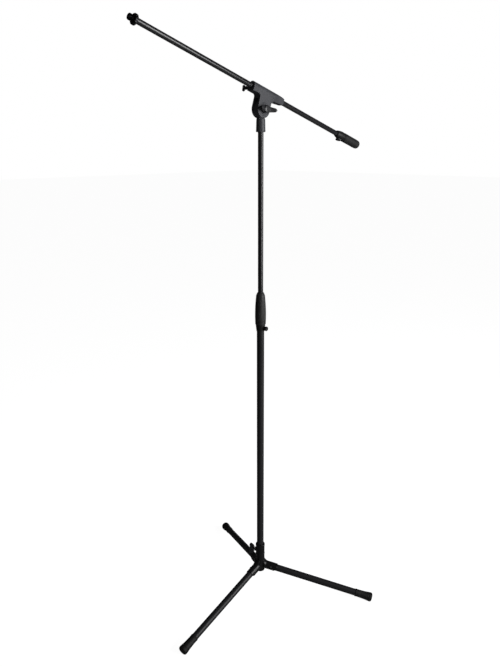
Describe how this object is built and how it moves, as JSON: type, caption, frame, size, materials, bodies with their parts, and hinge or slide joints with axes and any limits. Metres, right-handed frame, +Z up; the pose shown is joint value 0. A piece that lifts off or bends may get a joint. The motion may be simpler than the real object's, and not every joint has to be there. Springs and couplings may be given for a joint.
{
  "type": "boom microphone stand",
  "caption": "Folding tripod microphone stand: height-adjustable post with twist grip, tilting and sliding boom with counterweight, rubber feet.",
  "frame": {"origin": "on the floor, on the axis of the post", "axes": "+Z up along the post; +X is the heading of the boom's microphone end; the boom tilts about an axis parallel to Y"},
  "size_m": [0.885, 0.6802, 1.7938],
  "materials": {
    "tube_paint": "gloss black paint on steel tube",
    "hub_plastic": "black moulded nylon",
    "head_plastic": "grey moulded nylon",
    "grip_plastic": "satin dark grey plastic",
    "clutch_plastic": "black plastic",
    "knob_plastic": "black plastic",
    "foot_rubber": "black rubber",
    "weight_jacket": "black vinyl sleeve",
    "weight_collar": "black plastic",
    "weight_steel": "turned steel",
    "ring_metal": "blackened steel",
    "zinc_steel": "zinc plated",
    "pin_steel": "blackened steel",
    "brass": "turned brass",
    "nylon": "natural nylon"
  },
  "bodies": {
    "base": {"base_hub": "hub_plastic", "leg_pivot_pins": "pin_steel", "leg_pivot_washers": "nylon", "base_screw_insert": "brass"},
    "base_wing_screw": {"base_wing_knob": "knob_plastic", "base_wing_stud": "zinc_steel", "base_wing_tip": "nylon"},
    "leg_1": {"leg_1_knuckle": "hub_plastic", "leg_1_tube": "tube_paint", "leg_1_foot": "foot_rubber"},
    "leg_2": {"leg_2_knuckle": "hub_plastic", "leg_2_tube": "tube_paint", "leg_2_foot": "foot_rubber"},
    "leg_3": {"leg_3_knuckle": "hub_plastic", "leg_3_tube": "tube_paint", "leg_3_foot": "foot_rubber"},
    "lower_post": {"lower_tube": "tube_paint", "lower_tube_plug": "hub_plastic", "clutch_housing": "clutch_plastic", "clutch_collet": "nylon"},
    "clutch_screw": {"clutch_screw_stud": "zinc_steel", "clutch_screw_knob": "knob_plastic"},
    "height_grip": {"height_grip": "grip_plastic"},
    "upper_post": {"upper_tube": "tube_paint", "upper_tube_bush": "nylon", "mast_stud": "zinc_steel"},
    "head": {"head_socket": "head_plastic", "head_insert": "brass", "friction_washers": "nylon"},
    "boom_clamp": {"boom_clamp": "head_plastic", "pivot_bolt": "zinc_steel", "pivot_washer": "zinc_steel", "lock_screw_insert": "brass"},
    "pivot_wing_knob": {"pivot_wing_knob": "knob_plastic", "pivot_knob_nut": "brass"},
    "boom_lock_screw": {"lock_screw_knob": "knob_plastic", "lock_screw_stud": "zinc_steel", "lock_screw_tip": "nylon"},
    "boom": {"boom_tube": "tube_paint", "boom_end_stud": "zinc_steel"},
    "counterweight": {"counterweight_core": "weight_steel", "counterweight_jacket": "weight_jacket", "counterweight_collar": "weight_collar"},
    "counterweight_screw": {"counterweight_knob": "knob_plastic", "counterweight_screw": "zinc_steel"},
    "lock_ring": {"lock_ring": "ring_metal"},
    "thread_adapter": {"thread_adapter": "ring_metal"}
  },
  "joints": [
    {"name": "leg_fold_1", "type": "hinge", "parent": "base", "child": "leg_1", "pos_m": [0.03576, 0.00414, 0.1002], "axis": [-0.1149, 0.9934, 0], "range_deg": [0, 76.1]},
    {"name": "leg_fold_2", "type": "hinge", "parent": "base", "child": "leg_2", "pos_m": [-0.02146, 0.0289, 0.1002], "axis": [-0.8028, -0.5962, 0], "range_deg": [0, 76.1]},
    {"name": "leg_fold_3", "type": "hinge", "parent": "base", "child": "leg_3", "pos_m": [-0.0143, -0.03304, 0.1002], "axis": [0.9178, -0.3971, 0], "range_deg": [0, 76.1]},
    {"name": "base_slide", "type": "slide", "parent": "base", "child": "lower_post", "axis": [0, 0, 1], "range_m": [-0.36, 0]},
    {"name": "base_screw_turn", "type": "hinge", "parent": "base", "child": "base_wing_screw", "pos_m": [0.01192, -0.01606, 0.1636], "axis": [0.5962, -0.8028, 0], "range_deg": [0, 360]},
    {"name": "clutch_screw_turn", "type": "hinge", "parent": "lower_post", "child": "clutch_screw", "pos_m": [-0.00347, 0.0197, 0.963], "axis": [-0.1736, 0.9848, 0], "range_deg": [0, 360]},
    {"name": "grip_twist", "type": "hinge", "parent": "lower_post", "child": "height_grip", "pos_m": [0, 0, 1.02], "axis": [0, 0, 1], "range_deg": [0, 120]},
    {"name": "height_slide", "type": "slide", "parent": "lower_post", "child": "upper_post", "axis": [0, 0, 1], "range_m": [-0.46, 0.15]},
    {"name": "head_swivel", "type": "hinge", "parent": "upper_post", "child": "head", "pos_m": [0, 0, 1.5575], "axis": [0, 0, 1], "continuous": true},
    {"name": "boom_tilt", "type": "hinge", "parent": "head", "child": "boom_clamp", "pos_m": [0, 0, 1.601], "axis": [0, -1, 0], "range_deg": [-107.7, 72.3]},
    {"name": "pivot_knob_turn", "type": "hinge", "parent": "boom_clamp", "child": "pivot_wing_knob", "pos_m": [0, 0.022, 1.601], "axis": [0, 1, 0], "range_deg": [0, 360]},
    {"name": "boom_slide", "type": "slide", "parent": "boom_clamp", "child": "boom", "axis": [0.9527, 0, 0.304], "range_m": [-0.36, 0.26]},
    {"name": "boom_lock_turn", "type": "hinge", "parent": "boom_clamp", "child": "boom_lock_screw", "pos_m": [0.02501, -0.03, 1.65748], "axis": [0, -1, 0], "range_deg": [0, 360]},
    {"name": "counterweight_slide", "type": "slide", "parent": "boom", "child": "counterweight", "axis": [-0.9527, 0, -0.304], "range_m": [0, 0.06]},
    {"name": "counterweight_screw_turn", "type": "hinge", "parent": "counterweight", "child": "counterweight_screw", "pos_m": [-0.35355, 0, 1.52144], "axis": [0.304, 0, -0.9527], "range_deg": [0, 360]},
    {"name": "lock_ring_spin", "type": "hinge", "parent": "boom", "child": "lock_ring", "pos_m": [0.40922, 0, 1.78009], "axis": [0.9527, 0, 0.304], "continuous": true},
    {"name": "adapter_spin", "type": "hinge", "parent": "boom", "child": "thread_adapter", "pos_m": [0.41922, 0, 1.78329], "axis": [0.9527, 0, 0.304], "continuous": true}
  ]
}
